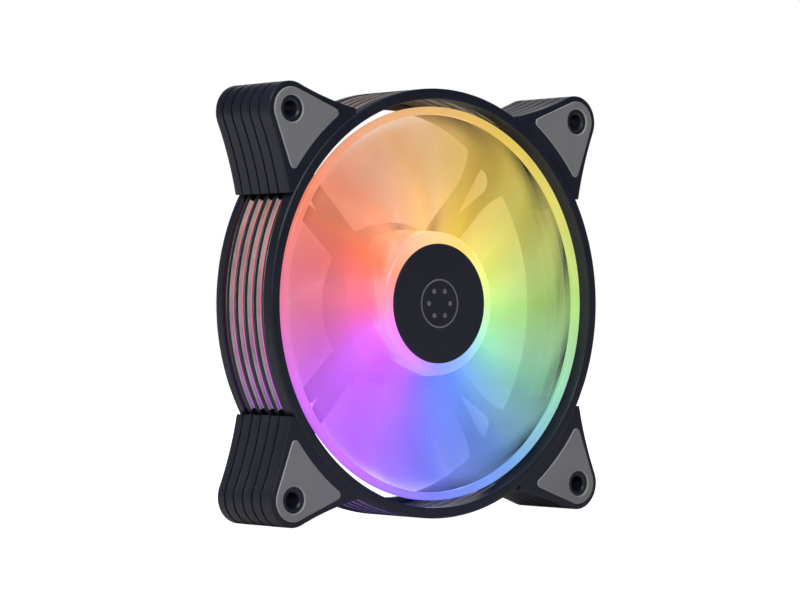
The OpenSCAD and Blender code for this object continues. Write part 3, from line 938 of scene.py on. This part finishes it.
def hub_and_band():
    flare = 1
    edge_r = 2.0
    roof_t = 1.4
    recess_r = BADGE_R + BADGE_GAP
    recess_floor = HUB_FRONT - BADGE_RECESS
    roof = recess_floor - roof_t
    hub_corners = [
        (HUB_INNER_R, HUB_REAR, 0.2), (HUB_R + flare, HUB_REAR, 0.3), (HUB_R, HUB_FRONT, edge_r),
        (recess_r, HUB_FRONT, 0.12), (recess_r, recess_floor, 0), (0, recess_floor, 0),
        (0, roof, 0), (HUB_INNER_R, roof, 0),
    ]
    band_t = 2.2
    band_edge_r = 0.5
    low = 21.2
    high = 23.3
    sides = ((BAND_R - band_t, low), (BAND_R, low), (BAND_R, high), (BAND_R - band_t, high))
    hub = revolve("hub", round_corners(hub_corners, 8), steps=192)
    band = revolve("band", round_corners([(*p, band_edge_r) for p in sides], 5), steps=256)
    for piece, cover in ((hub, HUB_COVER), (band, BAND_COVER)):
        set_cover(piece, [cover] * len(piece.data.vertices))
    return hub, band


def between(first, last, share):
    return first + (last - first) * share


def blade_point(u, v, side):
    """A point of one blade: u runs from root to tip, v from the leading to the trailing edge."""
    cut = max(0.0, v - BLADE_TIP_CUT_FROM) / (1 - BLADE_TIP_CUT_FROM)
    tip = BLADE_TIP_R - BLADE_TIP_CUT * cut**1.3
    radius = between(BLADE_ROOT_R, tip, u)
    angle = BLADE_SWEEP * u**1.5 - blade_span(u) * v
    drop = between(BLADE_DROP_ROOT, BLADE_DROP_TIP, u)
    height = BLADE_LEAD_ROOT + BLADE_LEAD_RISE * u - drop * (v - BLADE_CAMBER * v * (1 - v))
    thickness = BLADE_T * between(BLADE_EDGE_SHARE, 1, math.sin(math.pi * v) ** 0.6)
    point = polar(radius, angle)
    return (point.x, point.y, height + side * thickness / 2)


def blade(angle):
    """A twisted blade whose two skins meet along its edges."""
    across = 28
    along = 40
    row = along + 1
    sheet = (across + 1) * row
    # The sine spreads the points so that they lie closer together near the two edges
    shares = [(1 - math.cos(math.pi * j / along)) / 2 for j in range(along + 1)]
    rows = [i / across for i in range(across + 1)]
    points = [blade_point(u, v, side) for side in (1, -1) for u in rows for v in shares]
    faces = []
    for i in range(across):
        for j in range(along):
            a = i * row + j
            faces.append((a, a + row, a + row + 1, a + 1))
            faces.append((a + sheet, a + sheet + 1, a + sheet + row + 1, a + sheet + row))
    rim = [(j, j + 1) for j in range(along)]
    rim += [(i * row + along, (i + 1) * row + along) for i in range(across)]
    rim += [(across * row + j, across * row + j - 1) for j in range(along, 0, -1)]
    rim += [(i * row, (i - 1) * row) for i in range(across, 0, -1)]
    faces += [(a, b, b + sheet, a + sheet) for a, b in rim]
    made = turned(new_piece("blade", points, faces), angle)
    set_cover(made, 2 * [blade_cover(u, v) for u in rows for v in shares])
    return made


def blade_span(u):
    """The angle that a blade covers, from its root to its tip."""
    return between(BLADE_SPAN_ROOT, BLADE_SPAN_TIP, u)


def blade_cover(u, v):
    """How much a blade hides of what lies behind it: the rotor spins, so its edges look soft."""
    cover_at_edge = 0.04
    free_tip_from = 0.15
    free_tip_w = 0.3
    tip_zone = 0.12
    tip_loss = 0.8
    overlap = blade_span(u) - 360 / BLADES
    soft_angle = overlap * (0.55 + 0.35 * u)
    inside_edges = min(1.0, min(v, 1 - v) * blade_span(u) / soft_angle)
    free_tip = min(1.0, max(0.0, v - free_tip_from) / free_tip_w)
    near_tip = max(0.0, 1 - (1 - u) / tip_zone)
    return BLADE_COVER * between(cover_at_edge, 1, inside_edges) * (1 - tip_loss * free_tip * near_tip)


def set_cover(piece, values):
    """Store at every point how much of what lies behind it the lit plastic hides."""
    piece.data.attributes.new("cover", "FLOAT", "POINT").data.foreach_set("value", values)


def impeller():
    blades = [blade(360 * i / BLADES) for i in range(BLADES)]
    return joined("impeller_lit", [*blades, *hub_and_band()])


def badge_disc():
    badge_t = 0.58
    edge_r = 0.2
    bottom = HUB_FRONT - BADGE_RECESS
    top = bottom + badge_t
    corners = [(0, bottom, 0), (BADGE_R, bottom, 0), (BADGE_R, top, edge_r), (0, top, 0)]
    return revolve("badge_disc", round_corners(corners, 5), steps=192)


def badge_mark():
    """A plain printed ring with six dots."""
    inner_r = 6.4
    outer_r = 6.9
    dots = 6
    dot_r = 0.7
    dots_at = 3.9
    bottom = HUB_FRONT + 0.07
    top = HUB_FRONT + 0.1
    ring = [(inner_r, bottom), (outer_r, bottom), (outer_r, top), (inner_r, top)]
    parts = [revolve("line", ring, steps=96)]
    for i in range(dots):
        dot = revolve("dot", [(0, bottom), (dot_r, bottom), (dot_r, top), (0, top)], steps=24)
        dot.data.transform(Matrix.Translation((dots_at, 0, 0)))
        parts.append(turned(dot, 360 / dots * i))
    return joined("badge_mark", parts)


# ---------- windings ----------


def winding_path(half_w, half_h, radius):
    """A rounded rectangle round a stator pole, in its own plane."""
    corners = ((-half_w, -half_h), (half_w, -half_h), (half_w, half_h), (-half_w, half_h))
    return round_corners([(x, y, radius) for x, y in corners], 6)


def wire_turn(path, at, wire_r):
    """One closed turn of wire along a path that stands at a distance from the rotor axis."""
    sides = 8
    count = len(path)
    points = []
    for index, point in enumerate(path):
        way = path[(index + 1) % count] - path[index - 1]
        outward = Vector((way.y, -way.x)).normalized()
        for k in range(sides):
            turn = polar(wire_r, 360 * k / sides)
            flat = point + outward * turn.x
            points.append((at + turn.y, flat.x, STATOR_MIDDLE + flat.y))
    faces = []
    for index in range(count):
        after = (index + 1) % count
        for k in range(sides):
            side = (k + 1) % sides
            faces.append((index * sides + k, after * sides + k, after * sides + side, index * sides + side))
    return new_piece("turn", points, faces)


def coil(angle):
    """A wound coil: a solid core under one visible layer of wire."""
    wire_r = 0.29
    half_w = 4.7
    half_h = 6.0
    corner_r = 1.9
    core_path = winding_path(half_w - 0.3, half_h - 0.3, corner_r)
    core = stack("core", core_path, [(COIL_INNER_R + 0.2, 0), (COIL_OUTER_R - 0.2, 0)])
    hole_path = winding_path(2.5, 3.8, 0.05)
    hole = stack("hole", hole_path, [(COIL_INNER_R - PAST, 0), (COIL_OUTER_R + PAST, 0)])
    combine(core, [hole], "DIFFERENCE")
    # The core is drawn lying down, so it's stood up along the pole: its height becomes +X
    core.data.transform(Matrix(((0, 0, 1, 0), (1, 0, 0, 0), (0, 1, 0, STATOR_MIDDLE), (0, 0, 0, 1))))
    turns = int((COIL_OUTER_R - COIL_INNER_R) / (2 * wire_r))
    spacing = (COIL_OUTER_R - COIL_INNER_R - 2 * wire_r) / (turns - 1)
    path = winding_path(half_w - wire_r, half_h - wire_r, corner_r)
    wires = [wire_turn(path, COIL_INNER_R + wire_r + i * spacing, wire_r) for i in range(turns)]
    return turned(joined("coil", [core, *wires]), angle)


# ---------- the whole fan ----------

SLOT_OF_NODE = {row["node"]: row["material_slot"] for row in frame["record"]["subparts"]}

MATERIALS = {
    "frame_plastic": frame_plastic,
    "light_guide_plastic": light_guide_plastic,
    "pad_rubber": pad_rubber,
    "rotor_plastic": rotor_plastic,
    "badge_plastic": badge_plastic,
    "motor_steel": motor_steel,
    "stator_steel": stator_steel,
    "magnet_ferrite": magnet_ferrite,
    "brass": brass,
    "bronze": bronze,
    "nylon": nylon,
    "seal_rubber": seal_rubber,
    "insulator_plastic": insulator_plastic,
    "copper_wire": copper_wire,
    "tinned_pins": tinned_pins,
    "board_laminate": board_laminate,
    "chip_epoxy": chip_epoxy,
    "capacitor_ceramic": capacitor_ceramic,
    "led_package": led_package,
    "label_foil": label_foil,
}


def dress_cad_nodes(materials):
    """Gives every CAD node its finish and smooth, creased shading."""
    for name, piece in frame["nodes"].items():
        piece.data.materials.clear()
        piece.data.materials.append(materials[SLOT_OF_NODE[name]])
        piece.data.shade_smooth()
        piece.data.set_sharp_from_angle(angle=math.radians(30))


def build_detailed_pieces(materials):
    place(frame_moulding(), materials["frame_plastic"], "frame_body", "frame", 28)
    place(corner_pads("pads_front", False), materials["pad_rubber"], "frame_body", "front_corner_pads")
    place(corner_pads("pads_rear", True), materials["pad_rubber"], "frame_body", "rear_corner_pads")
    place(light_guides(), materials["light_guide_plastic"], "frame_body", "side_light_guides")
    place(impeller(), materials["rotor_plastic"], "rotor", "impeller", 50)
    place(badge_disc(), materials["badge_plastic"], "rotor", "hub_badge")
    place(badge_mark(), badge_print().material, "rotor", "hub_badge")
    coils = joined("windings", [coil(90 * i) for i in range(4)])
    place(coils, materials["copper_wire"], "frame_body", "stator_coils", 60)


# ---------- studio ----------


def white_surroundings():
    """White behind the fan, and a softer gray as the light that comes from all round."""
    world = bpy.data.worlds.new("studio")
    bpy.context.scene.world = world
    world.use_nodes = True
    tree = world.node_tree
    background = tree.nodes["Background"]
    background.inputs["Color"].default_value = (1, 1, 1, 1)
    seen = tree.nodes.new("ShaderNodeLightPath").outputs["Is Camera Ray"]
    level = tree.nodes.new("ShaderNodeMapRange")
    level.inputs["To Min"].default_value = 0.06
    level.inputs["To Max"].default_value = 1.0
    tree.links.new(seen, level.inputs["Value"])
    tree.links.new(level.outputs["Result"], background.inputs["Strength"])


def floor():
    """A pale floor that gives a little light of its own, so that it blends with the background."""
    half = 2.5
    gap = 0.0002
    level = -RING_R * MM - gap
    corners = [(-half, -half, level), (half, -half, level), (half, half, level), (-half, half, level)]
    piece = new_piece("floor", corners, [(0, 1, 2, 3)])
    paint = Paint("floor_acrylic")
    cloud = paint.noise(120, 3)
    seen = paint.node("ShaderNodeLightPath").outputs["Is Camera Ray"]
    paint.set(
        Base_Color=paint.mix(cloud, rgba(0.80, 0.80, 0.80), rgba(0.84, 0.84, 0.84)),
        Roughness=paint.span(cloud, 0.3, 0.7, 0.5, 0.6),
        Specular_IOR_Level=0.0,
        Emission_Color=rgba(1, 1, 1),
        Emission_Strength=paint.span(seen, 0, 1, 0.05, 1.0),
    )
    piece.data.materials.append(paint.material)


def softbox(name, position, size, power, target=(0, 0, 0)):
    light = bpy.data.lights.new(name, "AREA")
    light.shape = "RECTANGLE"
    light.size = size[0]
    light.size_y = size[1]
    light.energy = power
    lamp = bpy.data.objects.new(name, light)
    lamp.location = position
    lamp.rotation_euler = (Vector(target) - Vector(position)).to_track_quat("-Z", "Y").to_euler()
    bpy.context.scene.collection.objects.link(lamp)
    lamp.visible_camera = False


def lights():
    softbox("key", (-0.7, -1.0, 0.9), (0.6, 0.6), 9)
    softbox("backdrop", (0.75, 1.0, 0.1), (2.0, 1.2), 9)
    softbox("rim", (-0.08, 1.07, -0.1), (0.22, 0.7), 5)
    softbox("top", (-0.1, -0.1, 1.2), (0.9, 0.5), 1.5)
    softbox("left", (-1.05, 0.05, 1.0), (0.4, 0.8), 3.2)


def camera():
    """Level with the fan's centre, 41 degrees to the left of its face."""
    azimuth = -40.95
    elevation = 0.07
    distance = 837.24
    aim_left = 11.6
    aim_down = 1.2
    roll = -0.27
    centre = Vector((0, -DEPTH / 2, 0))
    flat = polar(distance * math.cos(math.radians(elevation)), azimuth - 90)
    position = centre + Vector((flat.x, flat.y, distance * math.sin(math.radians(elevation))))
    right = Vector((math.cos(math.radians(azimuth)), math.sin(math.radians(azimuth)), 0))
    aim = centre - right * aim_left - Vector((0, 0, aim_down))
    data = bpy.data.cameras.new("camera")
    data.lens = 135
    data.sensor_width = 36
    piece = bpy.data.objects.new("camera", data)
    piece.location = position * MM
    looking = (aim - position).to_track_quat("-Z", "Y").to_matrix()
    piece.rotation_euler = (looking @ Matrix.Rotation(math.radians(roll), 3, "Z")).to_euler()
    bpy.context.scene.collection.objects.link(piece)
    bpy.context.scene.camera = piece


def main():
    materials = {slot: make().material for slot, make in MATERIALS.items()}
    dress_cad_nodes(materials)
    build_detailed_pieces(materials)
    white_surroundings()
    floor()
    lights()
    camera()
    bpy.context.scene.view_settings.view_transform = "Standard"


main()
